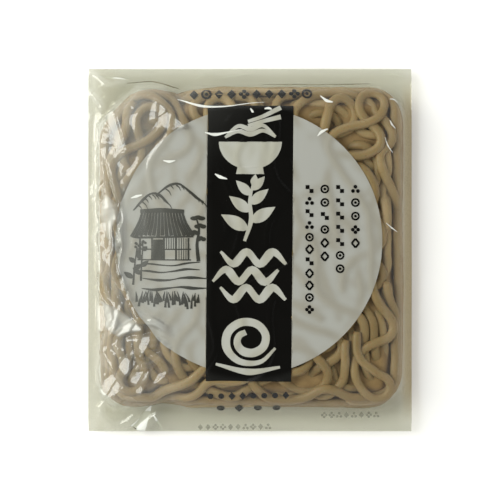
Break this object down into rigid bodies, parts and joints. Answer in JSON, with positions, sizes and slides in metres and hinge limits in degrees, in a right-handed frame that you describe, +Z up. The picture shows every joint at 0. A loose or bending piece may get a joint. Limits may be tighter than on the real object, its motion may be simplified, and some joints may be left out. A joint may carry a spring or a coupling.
{
  "type": "pack of boiled soba noodles",
  "caption": "Clear film bag of boiled buckwheat noodles lying flat, with film margins all round and a pale disc and black band printed on its front.",
  "frame": {"origin": "middle of the underside, on the surface that the pack lies on", "axes": "+Z up through the printed front, +Y to the top of the print, +X to the right of the print"},
  "size_m": [0.13, 0.146, 0.0176],
  "materials": {
    "noodle": "moist, satin",
    "film": "clear glossy film",
    "black_ink": "printed film, glossy",
    "pale_ink": "printed film, glossy"
  },
  "bodies": {
    "root": {"bag": "noodle", "print_band": "black_ink", "print_disc_left": "pale_ink", "print_disc_right": "pale_ink"}
  },
  "joints": []
}
